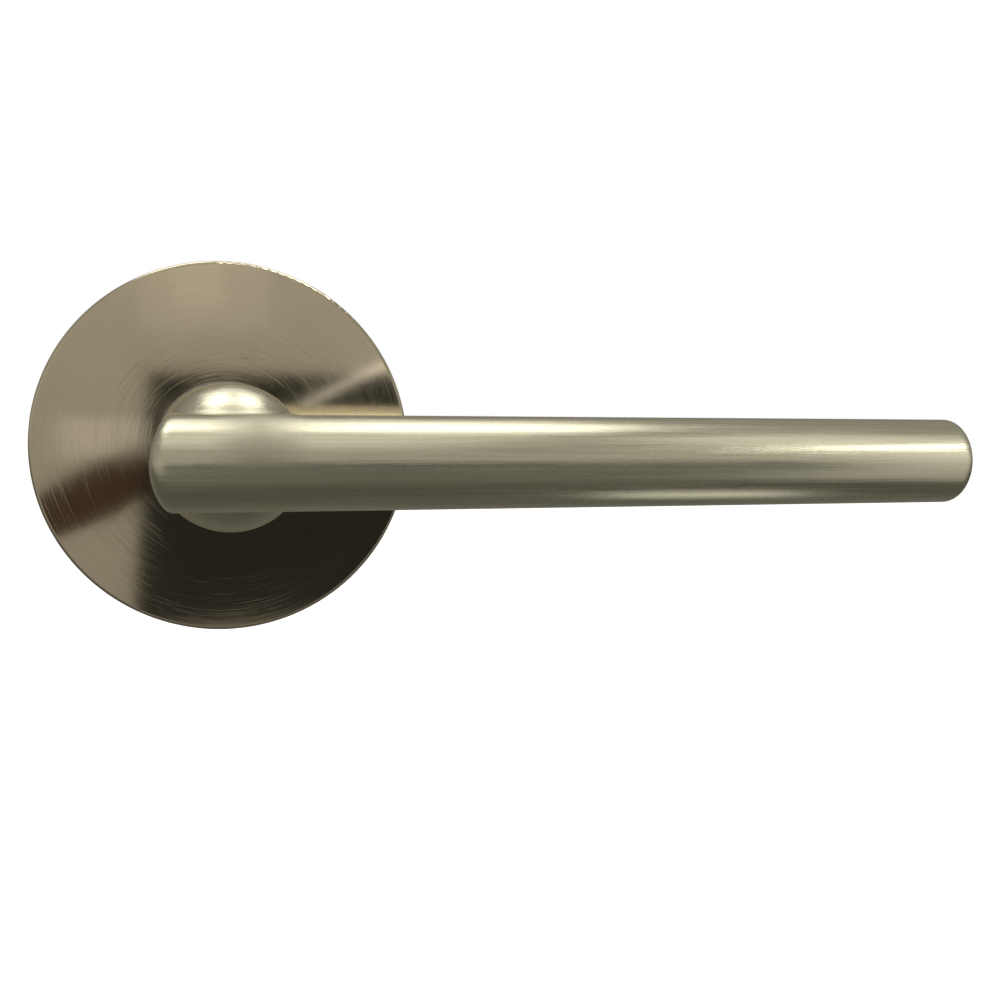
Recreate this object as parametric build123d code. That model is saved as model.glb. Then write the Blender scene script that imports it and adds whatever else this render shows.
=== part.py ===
from build123d import *
import os
from math import asin, atan2, cos, degrees, hypot, pi, radians, sin, sqrt

# A straight round door lever on a plain round rose, in millimetres.
# The spindle runs along Y, the door's face is the plane Y = 0, the lever stands in front of it on the
# -Y side and points along +X, and Z is up. A "depth" is a distance in front of the door's face, so a
# point at depth d has Y = -d, and a negative depth lies inside the door.
# An "angle" is measured about the spindle from +X towards +Z, as seen from the front.

# ---- rose cover ----
rose_radius = 32.5
cover_wall = 1.2
cover_edge_round = 0.6
cover_inner_round = 0.3
cover_headroom = 0.42

# ---- lever ----
neck_radius = 11.5
neck_straight_end = 36.5
neck_dome_height = 10.0
grip_radius = 7.0
grip_axis_depth = 49.5
grip_reach = 118.8
grip_end_round = 1.8
heel_round = 1.7
heel_depth = 4.0
journal_radius = 7.5
journal_start = 0.1
journal_flat = 6.2
groove_depth = 0.6

# ---- spindle and its screw ----
spindle_side = 8.0
spindle_gap = 0.05
spindle_seat = 15.0
spindle_tail = 62.0
spindle_bevel = 0.6
leaf_width = 3.0
leaf_thickness = 0.45
leaf_length = 12.0
leaf_bow = 0.2
leaf_slot_depth = 0.75
grub_radius = 2.5
grub_length = 5.5
grub_depth = 16.0
grub_key = 2.5
grub_key_depth = 2.2
grub_bevel = 0.5

# ---- the stack inside the rose, from the door outwards ----
gasket_thickness = 0.5
floor_thickness = 2.1
ring_recess_depth = 1.2
ring_recess_gap = 0.8
ring_thickness = 0.7
ring_width = 3.2
ring_mouth_angle = 270.0
ring_lug_angle = 32.0
ring_lug_hole = 0.63
ring_play = 0.05
disc_spring_thickness = 0.25
disc_spring_cone = 0.12
boss_wall = 1.75
bush_wall = 1.05
bush_flange = 0.8
wire_diameter = 1.2
coil_gap = 0.04
spring_turns = 1.5
spring_gap = 0.07
spring_well_gap = 0.5
coil_bore_gap = 1.03
driver_thickness = 1.0
driver_play = 0.1
lid_thickness = 0.7
washer_thickness = 0.45
washer_play = 0.1

# ---- plan of the mounting plate ----
plate_gap = 0.7
rim_wall = 1.8
ledge_width = 1.2
lid_gap = 0.2
leg_length = 11.5
leg_grip = 10.0
drive_peg_angle = 56.0
peg_radius = 1.2
peg_shank_radius = 0.9
peg_tab_margin = 1.92
peg_tab_width = 4.6
driver_margin = 1.0
arm_overlap = 2.5
arm_width = 6.0
arm_angle = 180.0
lever_travel = 45.0
stop_radius = 1.5
stop_standoff = 4.4
stop_gap = 0.05

# ---- fixings ----
post_spacing = 38.0
post_radius = 3.5
post_collar_radius = 3.8
post_reach = 30.0
post_head_radius = 4.6
post_head_height = 1.2
post_head_bevel = 0.3
post_bevel = 0.35
post_boss_radius = 5.2
post_thread_radius = 1.65
post_thread_length = 13.0
lock_washer_thickness = 0.9
lock_washer_radius = 4.7
wood_circle = 24.0
wood_angles = (45.0, 225.0)
wood_shank_radius = 2.0
wood_head_radius = 3.9
wood_length = 22.0
wood_boss_radius = 4.6
wood_boss_height = 2.2
wood_thread_pitch = 1.8
wood_thread_depth = 0.45
lid_screw_circle = 25.2
lid_screw_angles = (0.0, 135.0, 250.0)
lid_screw_radius = 1.25
lid_screw_head_radius = 2.3
lid_screw_head_height = 0.65
lid_screw_length = 5.0
lid_boss_radius = 2.6
slot_width = 1.0
slot_depth = 0.6

# ---- cover clips ----
clip_angles = (90.0, 210.0, 330.0)
clip_thickness = 0.35
clip_width = 8.0
clip_drop = 5.0
clip_gap = 0.1
clip_bead_drop = 2.0
clip_bead_height = 1.0

# ---- clearances ----
running_gap = 0.05
press_gap = 0.02
hole_gap = 0.2
cover_gap = 0.3
axial_gap = 0.1

# ---- sizes that follow from those above ----
cover_inner_radius = rose_radius - cover_wall
plate_radius = cover_inner_radius - plate_gap
rim_inner_radius = plate_radius - rim_wall
ledge_inner_radius = rim_inner_radius - ledge_width
plate_back = gasket_thickness
floor_top = plate_back + floor_thickness
recess_top = plate_back + ring_recess_depth
ring_radius = journal_radius - groove_depth + ring_width
ring_recess_radius = ring_radius + ring_recess_gap
bush_radius = journal_radius + running_gap + bush_wall
bore_radius = bush_radius + press_gap
boss_radius = bore_radius + boss_wall
coil_pitch = wire_diameter + coil_gap
spring_mean_radius = boss_radius + coil_bore_gap + wire_diameter / 2
coil_radius = spring_mean_radius + wire_diameter / 2
driver_radius = coil_radius + driver_margin
stop_circle = driver_radius + stop_standoff
arm_reach = stop_circle + arm_overlap
leg_drift = coil_pitch * leg_length / (2 * pi * spring_mean_radius)
spring_start = floor_top + spring_gap + leg_drift
spring_height = spring_turns * coil_pitch + wire_diameter
driver_back = spring_start + spring_height + leg_drift + driver_play
driver_front = driver_back + driver_thickness
boss_top = driver_back - driver_play - bush_flange - press_gap
post_seat = driver_back - driver_play - post_head_height
post_boss_top = post_seat - lock_washer_thickness - 2 * press_gap
lid_back = driver_front + driver_play
lid_front = lid_back + lid_thickness
cover_face = lid_front + press_gap + clip_thickness + cover_headroom
rose_height = cover_face + cover_wall
washer_back = lid_front + washer_play
neck_start = washer_back + washer_thickness + washer_play
ring_back = recess_top - ring_thickness - disc_spring_thickness - disc_spring_cone - 2 * ring_play
lid_hole_radius = journal_radius + cover_gap
lid_radius = rim_inner_radius - lid_gap
stop_angle = degrees(asin((arm_width / 2 + stop_radius + stop_gap) / stop_circle))
peg_offset = coil_radius + peg_radius + stop_gap
peg_circle = hypot(peg_offset, leg_grip)
peg_tab_reach = peg_circle + peg_tab_margin
peg_lead = degrees(atan2(leg_grip, peg_offset))
coil_end_angle = drive_peg_angle + peg_lead
coil_start_angle = coil_end_angle + 360.0 * spring_turns
anchor_peg_angle = coil_start_angle + peg_lead
post_spots = ((0.0, post_spacing / 2), (0.0, -post_spacing / 2))


def spot(circle, angle):
    """X and Z of a point on a circle about the spindle."""
    return circle * cos(radians(angle)), circle * sin(radians(angle))


def rod(radius, near, far, place=(0.0, 0.0)):
    """A round bar along Y between two depths."""
    return Pos(place[0], -(near + far) / 2, place[1]) * Rot(90, 0, 0) * Cylinder(radius, far - near)


def block(width, height, near, far, place=(0.0, 0.0)):
    """A rectangular bar along Y between two depths."""
    return Pos(place[0], -(near + far) / 2, place[1]) * Box(width, far - near, height)


def ring(outer, inner, near, far):
    """A flat ring about the spindle."""
    return rod(outer, near, far) - rod(inner, near - 1, far + 1)


def turned(points, place=(0.0, 0.0)):
    """A body turned about a line along Y from its half outline of (radius, depth) points."""
    outline = Polyline(*[(radius, -depth, 0) for radius, depth in points], close=True)
    return Pos(place[0], 0, place[1]) * revolve(make_face(outline), Axis.Y)


def spun(solid, angle):
    """The same body turned about the spindle by an angle."""
    return Rot(0, -angle, 0) * solid


def grip_bar(radius, start, end):
    """A round bar along X on the grip's axis."""
    return Pos((start + end) / 2, -grip_axis_depth, 0) * Rot(0, 90, 0) * Cylinder(radius, end - start)


def neck_body():
    """The round neck with its domed front."""
    corner = (neck_radius, -neck_straight_end, 0)
    crown = (0, -neck_straight_end - neck_dome_height, 0)
    dome = EllipticalCenterArc((0, -neck_straight_end, 0), neck_radius, neck_dome_height, -90, arc_size=90)
    outline = Curve() + [
        Line((0, -neck_start, 0), (neck_radius, -neck_start, 0)),
        Line((neck_radius, -neck_start, 0), corner),
        dome,
        Line(crown, (0, -neck_start, 0)),
    ]
    return revolve(make_face(outline), Axis.Y)


def heel_body():
    """The grip's closed end over the neck: it follows the neck's round and drops straight into it."""
    front = grip_axis_depth + grip_radius
    back = neck_straight_end - heel_depth
    cheek = block(4 * neck_radius, 2 * grip_radius, back, grip_axis_depth)
    bar = grip_bar(grip_radius, -2 * neck_radius, 2 * neck_radius)
    heel = (bar + cheek) & rod(neck_radius, back, front + 1)
    return fillet(heel.edges().filter_by_position(Axis.X, -neck_radius, -grip_radius / 2), heel_round)


def lever_handle():
    """The lever as one casting: journal, neck, heel and grip."""
    grip = grip_bar(grip_radius, 0, grip_reach)
    grip = fillet(grip.edges().sort_by(Axis.X)[-1], grip_end_round)
    lever = neck_body() + heel_body() + grip
    lever += journal_body()
    square = spindle_side + 2 * spindle_gap
    lever -= block(square, square, journal_start - 1, neck_start + spindle_seat)
    hole_top = spindle_side / 2
    hole = Pos(0, -grub_depth, -(hole_top + neck_radius) / 2)
    lever -= hole * Cylinder(grub_radius + running_gap, neck_radius - hole_top + 1)
    return lever


def journal_body():
    """The turned journal behind the neck, with two flats and the retaining ring's groove."""
    journal = rod(journal_radius, journal_start, neck_start)
    for side in (-1, 1):
        flat = block(journal_radius, 3 * journal_radius, journal_start - 1, driver_front + axial_gap,
                     (side * (journal_flat + journal_radius / 2), 0))
        journal -= flat
    groove = ring(journal_radius + 1, journal_radius - groove_depth, ring_back - ring_play,
                  ring_back + ring_thickness + ring_play)
    return journal - groove


def spindle():
    """The square spindle, with the slot for its leaf spring."""
    front = neck_start + spindle_seat - axial_gap
    bar = block(spindle_side, spindle_side, -spindle_tail, front)
    bar = chamfer(bar.faces().sort_by(Axis.Y)[0].edges(), spindle_bevel)
    bar = chamfer(bar.faces().sort_by(Axis.Y)[-1].edges(), spindle_bevel)
    slot = block(leaf_width + hole_gap, leaf_slot_depth, leaf_near() - hole_gap,
                 leaf_near() + leaf_length + hole_gap, (0, (spindle_side - leaf_slot_depth) / 2))
    return bar - slot


def leaf_near():
    """Depth at which the leaf spring begins."""
    return neck_start


def spindle_leaf():
    """A bowed leaf spring in the spindle's slot."""
    foot = spindle_side / 2 - leaf_slot_depth + press_gap
    near, far = -leaf_near(), -leaf_near() - leaf_length
    middle = (near + far) / 2
    under = ThreePointArc((0, near, foot), (0, middle, foot + leaf_bow), (0, far, foot))
    top = ThreePointArc((0, near, foot + leaf_thickness), (0, middle, foot + leaf_bow + leaf_thickness),
                        (0, far, foot + leaf_thickness))
    ends = [Line(under @ 0, top @ 0), Line(under @ 1, top @ 1)]
    return extrude(make_face(Curve() + [under, top] + ends), leaf_width / 2, dir=(1, 0, 0), both=True)


def grub_screw():
    """The socket set screw that holds the spindle in the neck."""
    top = -spindle_side / 2 - press_gap
    screw = Pos(0, -grub_depth, top - grub_length / 2) * Cylinder(grub_radius, grub_length)
    screw = chamfer(screw.edges().filter_by(GeomType.CIRCLE), grub_bevel)
    key = extrude(RegularPolygon(grub_key / sqrt(3), 6), grub_key_depth)
    return screw - Pos(0, -grub_depth, top - grub_length) * key


def retaining_ring():
    """An open external ring with plier holes, in the journal's groove."""
    near, far = ring_back, ring_back + ring_thickness
    inner = journal_radius - groove_depth + running_gap
    lug_width = ring_radius - inner
    clip = ring(ring_radius, inner, near, far)
    mouth = block(2 * ring_radius, 2 * lug_width, near - 1, far + 1, (ring_radius, 0))
    clip -= spun(mouth, ring_mouth_angle)
    for side in (-1, 1):
        place = spot(inner + lug_width / 2, ring_mouth_angle + side * ring_lug_angle)
        clip += rod(lug_width / 2, near, far, place)
        clip -= rod(ring_lug_hole, near - 1, far + 1, place)
    return clip


def disc_spring():
    """A conical disc spring between the retaining ring and the plate."""
    inner = journal_radius + hole_gap
    near = ring_back + ring_thickness + ring_play
    far = near + disc_spring_cone
    return turned([(inner, far), (inner, far + disc_spring_thickness),
                   (ring_radius, near + disc_spring_thickness), (ring_radius, near)])


def drive_plate():
    """The keyed plate with the arm that meets the stops and the tab that carries the drive peg."""
    plate = rod(driver_radius, driver_back, driver_front)
    plate += spun(block(arm_reach, arm_width, driver_back, driver_front, (arm_reach / 2, 0)), arm_angle)
    plate += spun(block(peg_tab_reach, peg_tab_width, driver_back, driver_front, (peg_tab_reach / 2, 0)),
                  drive_peg_angle)
    width = 2 * (journal_flat + running_gap)
    keyhole = rod(journal_radius + running_gap, driver_back - 1, driver_front + 1)
    keyhole &= block(width, 3 * journal_radius, driver_back - 1, driver_front + 1)
    peg_hole = rod(peg_shank_radius + press_gap, driver_back - 1, driver_front + 1,
                   spot(peg_circle, drive_peg_angle))
    corners = plate.edges().filter_by(Axis.Y).group_by(lambda e: round(e.length, 3))[-1]
    corners = corners.filter_by(lambda e: (e @ 0).X ** 2 + (e @ 0).Z ** 2 > (driver_radius + 1) ** 2)
    return fillet(corners, driver_thickness) - keyhole - peg_hole


def drive_peg():
    """The peg on the drive plate that pushes the spring's moving leg."""
    place = spot(peg_circle, drive_peg_angle)
    peg = rod(peg_radius, driver_back - axial_gap - 2 * wire_diameter, driver_back - press_gap, place)
    return peg + rod(peg_shank_radius, driver_back - 1, driver_front, place)


def return_spring():
    """The torsion spring: a coil about the boss, with a straight tangent leg at each end."""
    helix = Helix(coil_pitch, coil_pitch * spring_turns, spring_mean_radius, lefthand=True)
    coil = spun(Rot(90, 0, 0) * helix, coil_start_angle)
    coil = Pos(0, -spring_start - wire_diameter / 2, 0) * coil
    start, end = coil @ 0, coil @ 1
    fixed_leg = Line(start - leg_length * (coil % 0), start)
    moving_leg = Line(end, end + leg_length * (coil % 1))
    path = Wire([fixed_leg.edge(), coil.edge(), moving_leg.edge()])
    section = Plane(origin=fixed_leg @ 0, z_dir=fixed_leg % 0) * Circle(wire_diameter / 2)
    return sweep(section, path=path)


def spring_anchor():
    """The peg in the plate that holds the spring's fixed leg."""
    return rod(peg_radius, plate_back + press_gap, floor_top + 2 * wire_diameter,
               spot(peg_circle, anchor_peg_angle))


def stop_pins():
    """The two pins that end the lever's travel."""
    angles = (arm_angle + stop_angle, arm_angle - lever_travel - stop_angle)
    return [rod(stop_radius, plate_back + press_gap, driver_front, spot(stop_circle, a)) for a in angles]


def neck_bush():
    """The flanged plastic bush in the plate's boss."""
    back = recess_top + axial_gap
    flange_back = boss_top + press_gap
    bush = rod(bush_radius, back, flange_back) + rod(boss_radius, flange_back, flange_back + bush_flange)
    return bush - rod(journal_radius + running_gap, back - 1, driver_back)


def mounting_plate():
    """The die-cast plate: floor, rim, bush boss, and bosses for the posts, wood screws and lid screws."""
    plate = rod(plate_radius, plate_back, lid_front)
    plate -= rod(rim_inner_radius, lid_back, lid_front + 1)
    plate -= rod(ledge_inner_radius, floor_top, lid_front + 1)
    plate += rod(boss_radius, recess_top, boss_top)
    for place in post_spots:
        boss = rod(post_boss_radius, plate_back, post_boss_top, place)
        plate += boss - rod(coil_radius + spring_well_gap, floor_top, lid_back)
        plate -= rod(post_collar_radius + hole_gap, plate_back - 1, lid_back, place)
    for angle in wood_angles:
        place = spot(wood_circle, angle)
        plate += rod(wood_boss_radius, plate_back, floor_top + wood_boss_height, place)
        plate -= wood_screw_shape(hole_gap, place)
    for angle in lid_screw_angles:
        place = spot(lid_screw_circle, angle)
        plate += rod(lid_boss_radius, plate_back, lid_back, place)
        plate -= rod(lid_screw_radius + press_gap, lid_back - lid_screw_length, lid_front, place)
    for angle in (arm_angle + stop_angle, arm_angle - lever_travel - stop_angle):
        plate -= rod(stop_radius + press_gap, plate_back - 1, lid_back, spot(stop_circle, angle))
    plate -= rod(peg_radius + press_gap, plate_back - 1, lid_back, spot(peg_circle, anchor_peg_angle))
    plate -= rod(ring_recess_radius, plate_back - 1, recess_top)
    return plate - rod(bore_radius, plate_back - 1, lid_front)


def cassette_lid():
    """The steel lid over the spring and drive plate, with holes that leave the fixings in reach."""
    lid = ring(lid_radius, lid_hole_radius, lid_back + press_gap, lid_front)
    for place in post_spots:
        lid -= rod(lock_washer_radius + hole_gap, lid_back - 1, lid_front + 1, place)
    for angle in wood_angles:
        lid -= rod(wood_head_radius + 2 * hole_gap, lid_back - 1, lid_front + 1, spot(wood_circle, angle))
    for angle in lid_screw_angles:
        place = spot(lid_screw_circle, angle)
        lid -= lid_screw_shape(press_gap, place)
    return lid


def lid_screw_shape(gap, place):
    """The outside of a countersunk lid screw, grown by a gap."""
    shank, head = lid_screw_radius + gap, lid_screw_head_radius + gap
    neck = lid_front - lid_screw_head_height
    tip = lid_front - lid_screw_length
    return turned([(0, lid_front), (head, lid_front), (shank, neck), (shank, tip), (0, tip)], place)


def lid_screws():
    """Three countersunk screws with slotted heads."""
    screws = []
    for angle in lid_screw_angles:
        place = spot(lid_screw_circle, angle)
        slot = block(2 * lid_screw_head_radius, slot_width / 2, lid_front - slot_depth / 2, lid_front + 1,
                     place)
        screws.append(lid_screw_shape(0, place) - slot)
    return screws


def front_washer():
    """The plastic thrust washer between the lid and the neck's shoulder."""
    return ring(neck_radius - cover_gap, lid_hole_radius, washer_back, washer_back + washer_thickness)


def fixing_posts():
    """Two threaded sleeves with slotted heads and a collar inside the plate, for the far side's bolts."""
    posts = []
    for place in post_spots:
        post = rod(post_radius, -post_reach, 0, place)
        post = chamfer(post.edges().filter_by(GeomType.CIRCLE).sort_by(Axis.Y)[-1], post_bevel)
        post += rod(post_collar_radius, 0, post_seat + post_head_height / 2, place)
        head = rod(post_head_radius, post_seat, post_seat + post_head_height, place)
        head = chamfer(head.edges().filter_by(GeomType.CIRCLE).sort_by(Axis.Y)[0], post_head_bevel)
        post += head
        post -= rod(post_thread_radius, -post_reach - 1, post_thread_length - post_reach, place)
        slot_floor = post_seat + post_head_height - slot_depth
        post -= block(3 * post_head_radius, slot_width, slot_floor, slot_floor + 2 * slot_depth, place)
        posts.append(post)
    return posts


def lock_washers():
    """Split spring washers under the posts' heads."""
    back = post_boss_top + press_gap
    washers = []
    for place in post_spots:
        washer = rod(lock_washer_radius, back, back + lock_washer_thickness, place)
        washer -= rod(post_collar_radius + running_gap, back - 1, back + lock_washer_thickness + 1, place)
        split = (place[0] + lock_washer_radius, place[1])
        washer -= block(2 * lock_washer_radius, slot_width / 2, back - 1, back + 2, split)
        washers.append(washer)
    return washers


def wood_screw_shape(gap, place):
    """The outside of a countersunk wood screw without its thread, grown by a gap."""
    top = floor_top + wood_boss_height
    shank, head = wood_shank_radius + gap, wood_head_radius + gap
    return turned([(0, top + gap), (head, top + gap), (shank, top - wood_head_radius + shank),
                   (shank, top - wood_length), (0, top - wood_length)], place)


def wood_screws():
    """Two countersunk wood screws with pointed, threaded shanks and slotted heads."""
    top = floor_top + wood_boss_height
    tip = top - wood_length
    root = wood_shank_radius - wood_thread_depth
    neck = top - wood_head_radius + wood_shank_radius
    profile = [(0, top), (wood_head_radius, top), (wood_shank_radius, neck)]
    depth = -wood_thread_pitch
    profile.append((wood_shank_radius, depth + wood_thread_pitch / 4))
    while depth > tip + 2 * wood_shank_radius + wood_thread_pitch:
        profile.append((root, depth))
        profile.append((root, depth - wood_thread_pitch / 2))
        profile.append((wood_shank_radius, depth - wood_thread_pitch * 3 / 4))
        depth -= wood_thread_pitch
    profile.append((root, depth))
    profile.append((0, tip))
    screws = []
    for angle in wood_angles:
        place = spot(wood_circle, angle)
        slot = block(3 * wood_head_radius, slot_width, top - slot_depth, top + 1, place)
        screws.append(turned(profile, place) - slot)
    return screws


def door_gasket():
    """The thin gasket between the plate and the door."""
    gasket = ring(plate_radius - hole_gap, ring_recess_radius, 0, gasket_thickness - press_gap)
    for place in post_spots:
        gasket -= rod(post_collar_radius + 2 * hole_gap, -1, gasket_thickness + 1, place)
    for angle in wood_angles:
        gasket -= rod(wood_shank_radius + 2 * hole_gap, -1, gasket_thickness + 1, spot(wood_circle, angle))
    return gasket


def rose_cover():
    """The turned cover, which snaps over the plate and slides forward on the neck."""
    shell = rod(rose_radius, 0, rose_height)
    shell = fillet(shell.edges().filter_by(GeomType.CIRCLE).sort_by(Axis.Y)[0], cover_edge_round)
    hollow = rod(cover_inner_radius, -1, cover_face)
    hollow = fillet(hollow.edges().filter_by(GeomType.CIRCLE).sort_by(Axis.Y)[0], cover_inner_round)
    return shell - hollow - rod(neck_radius + cover_gap, 0, rose_height + 1)


def cover_clips():
    """Three spring clips that hook over the plate's rim and grip the cover's wall."""
    outer = cover_inner_radius - clip_gap
    inner = plate_radius + press_gap
    top = lid_front + press_gap
    band = ring(outer, outer - clip_thickness, top - clip_drop, top + clip_thickness)
    hook = ring(outer, rim_inner_radius + hole_gap, top, top + clip_thickness)
    bead = ring(outer, inner, top - clip_bead_drop - clip_bead_height, top - clip_bead_drop)
    whole = band + hook + bead
    return [whole & spun(block(rose_radius, clip_width, -1, rose_height, (rose_radius / 2, 0)), a)
            for a in clip_angles]


PARTS = {
    "lever_handle": lever_handle,
    "spindle": spindle,
    "spindle_leaf": spindle_leaf,
    "grub_screw": grub_screw,
    "retaining_ring": retaining_ring,
    "disc_spring": disc_spring,
    "drive_plate": drive_plate,
    "drive_peg": drive_peg,
    "return_spring": return_spring,
    "spring_anchor": spring_anchor,
    "stop_pins": stop_pins,
    "neck_bush": neck_bush,
    "mounting_plate": mounting_plate,
    "cassette_lid": cassette_lid,
    "lid_screws": lid_screws,
    "front_washer": front_washer,
    "fixing_posts": fixing_posts,
    "lock_washers": lock_washers,
    "wood_screws": wood_screws,
    "door_gasket": door_gasket,
    "rose_cover": rose_cover,
    "cover_clips": cover_clips,
}

os.makedirs("parts", exist_ok=True)
for name, make in PARTS.items():
    made = make()
    if isinstance(made, list):
        made = Compound(children=[solid for piece in made for solid in piece.solids()])
    export_step(made, f"parts/{name}.step")
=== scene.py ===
from math import cos, pi, radians, sin, tau

import bmesh
import bpy
from mathutils import Matrix, Quaternion, Vector


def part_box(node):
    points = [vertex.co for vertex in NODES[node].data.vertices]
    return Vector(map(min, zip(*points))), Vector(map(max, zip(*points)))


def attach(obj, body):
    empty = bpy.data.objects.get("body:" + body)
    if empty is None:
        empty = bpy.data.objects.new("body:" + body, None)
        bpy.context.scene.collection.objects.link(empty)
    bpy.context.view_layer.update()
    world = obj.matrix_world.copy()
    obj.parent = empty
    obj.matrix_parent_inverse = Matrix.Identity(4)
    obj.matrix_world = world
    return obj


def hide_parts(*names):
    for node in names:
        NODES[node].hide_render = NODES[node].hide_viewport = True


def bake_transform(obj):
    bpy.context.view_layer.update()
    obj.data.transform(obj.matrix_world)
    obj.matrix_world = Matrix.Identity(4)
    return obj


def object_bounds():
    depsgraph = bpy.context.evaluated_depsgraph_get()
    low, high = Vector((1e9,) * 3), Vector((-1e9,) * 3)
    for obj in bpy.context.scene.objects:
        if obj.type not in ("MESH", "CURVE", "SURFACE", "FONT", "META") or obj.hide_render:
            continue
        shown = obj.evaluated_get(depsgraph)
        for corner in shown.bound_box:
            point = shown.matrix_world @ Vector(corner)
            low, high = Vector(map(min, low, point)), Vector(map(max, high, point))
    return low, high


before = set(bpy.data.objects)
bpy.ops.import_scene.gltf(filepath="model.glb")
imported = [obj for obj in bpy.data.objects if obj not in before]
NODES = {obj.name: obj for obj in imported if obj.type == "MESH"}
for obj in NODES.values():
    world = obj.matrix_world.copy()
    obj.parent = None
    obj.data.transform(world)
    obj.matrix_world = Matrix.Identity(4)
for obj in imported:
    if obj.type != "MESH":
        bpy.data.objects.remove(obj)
CAD_LOW, CAD_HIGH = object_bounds()
MM = 0.001
MICRON = 0.000001

bl_info = {
    "name": "Lever handle on a round rose",
    "version": (1, 0, 0),
    "blender": (4, 5, 0),
    "location": "View3D > Sidebar > Lever handle",
    "description": "Finishes, fittings and studio for a sprung door lever on a round rose",
    "category": "Object",
}


# ---------------------------------------------------------------- shader maths


class Wire:
    """A socket that grows Math nodes when it is used in a Python expression."""

    def __init__(self, tree, socket):
        self.tree = tree
        self.socket = socket

    def _math(self, operation, *inputs):
        node = self.tree.nodes.new("ShaderNodeMath")
        node.operation = operation
        for slot, value in zip(node.inputs, inputs):
            if isinstance(value, Wire):
                self.tree.links.new(value.socket, slot)
            else:
                slot.default_value = value
        return Wire(self.tree, node.outputs[0])

    def __add__(self, other):
        return self._math("ADD", self, other)

    def __radd__(self, other):
        return self._math("ADD", other, self)

    def __sub__(self, other):
        return self._math("SUBTRACT", self, other)

    def __rsub__(self, other):
        return self._math("SUBTRACT", other, self)

    def __mul__(self, other):
        return self._math("MULTIPLY", self, other)

    def __rmul__(self, other):
        return self._math("MULTIPLY", other, self)

    def __truediv__(self, other):
        return self._math("DIVIDE", self, other)

    def __rtruediv__(self, other):
        return self._math("DIVIDE", other, self)

    def root(self):
        return self._math("SQRT", self)

    def size(self):
        """The value without its sign."""
        return self._math("ABSOLUTE", self)

    def heading(self, other):
        """The angle of the direction (other, self), in radians."""
        return self._math("ARCTAN2", self, other)


class Tree:
    """A node tree with one method that makes any node."""

    def __init__(self, tree):
        self.tree = tree
        tree.nodes.clear()

    def node(self, kind, settings=None, inputs=None, out=0):
        """Makes a node: its settings first, then the values or links of its sockets."""
        made = self.tree.nodes.new(kind)
        for name, value in (settings or {}).items():
            if name == "stops":
                self._stops(made.color_ramp, value)
            else:
                setattr(made, name, value)
        for name, value in (inputs or {}).items():
            if isinstance(value, Wire):
                self.tree.links.new(value.socket, made.inputs[name])
            else:
                made.inputs[name].default_value = value
        return Wire(self.tree, made.outputs[out]) if made.outputs else made

    def _stops(self, ramp, stops):
        while len(ramp.elements) < len(stops):
            ramp.elements.new(1.0)
        for element, (place, colour) in zip(ramp.elements, stops):
            element.position = place
            element.color = colour

    def parts(self, vector):
        """X, Y and Z of a vector as three wires."""
        split = self.node("ShaderNodeSeparateXYZ", inputs={"Vector": vector}).socket.node
        return [Wire(self.tree, socket) for socket in split.outputs]

    def vector(self, x, y, z):
        return self.node("ShaderNodeCombineXYZ", inputs={"X": x, "Y": y, "Z": z})

    def place(self):
        """X, Y and Z of the surface in metres."""
        return self.parts(self.node("ShaderNodeTexCoord", out=3))

    def noise(self, vector, scale=1.0, detail=2.0, roughness=0.5):
        inputs = {"Vector": vector, "Scale": scale, "Detail": detail, "Roughness": roughness}
        return self.node("ShaderNodeTexNoise", {"noise_dimensions": "3D"}, inputs)

    def grain(self, place, counts, detail=2.0, roughness=0.5):
        """Noise with its own count of grains per metre along each of three wires."""
        along = [wire * count for wire, count in zip(place, counts)]
        return self.noise(self.vector(*along), 1.0, detail, roughness)

    def ramp(self, value, stops):
        return self.node("ShaderNodeValToRGB", {"stops": stops}, {"Fac": value})

    def span(self, value, low, high, to_low=0.0, to_high=1.0):
        """Maps a span of a value to another span, clamped."""
        inputs = {"Value": value, "From Min": low, "From Max": high, "To Min": to_low, "To Max": to_high}
        return self.node("ShaderNodeMapRange", {"clamp": True}, inputs)

    def mix(self, share, first, second):
        """Mixes two colours, each a wire or an RGBA tuple."""
        made = self.tree.nodes.new("ShaderNodeMix")
        made.data_type = "RGBA"
        made.blend_type = "MIX"
        made.clamp_factor = True
        for slot, value in ((made.inputs[0], share), (made.inputs[6], first), (made.inputs[7], second)):
            if isinstance(value, Wire):
                self.tree.links.new(value.socket, slot)
            else:
                slot.default_value = value
        return Wire(self.tree, made.outputs[2])

    def bump(self, height, distance, normal=None):
        inputs = {"Height": height, "Distance": distance, "Strength": 1.0}
        if normal is not None:
            inputs["Normal"] = normal
        return self.node("ShaderNodeBump", inputs=inputs)

    def surface(self, **inputs):
        """The principled shader and the material's output."""
        named = {name.replace("_", " "): value for name, value in inputs.items()}
        shader = self.node("ShaderNodeBsdfPrincipled", inputs=named)
        self.node("ShaderNodeOutputMaterial", inputs={"Surface": shader})


def rgba(colour, factor=1.0):
    return (colour[0] * factor, colour[1] * factor, colour[2] * factor, 1.0)


def new_material(name):
    made = bpy.data.materials.new(name)
    made.use_nodes = True
    return made, Tree(made.node_tree)


def finish_nodes(material, *names):
    """Gives CAD nodes a material in place of their plain one."""
    for name in names:
        for slot in NODES[name].material_slots:
            slot.material = material


# ---------------------------------------------------------------- settings


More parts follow.
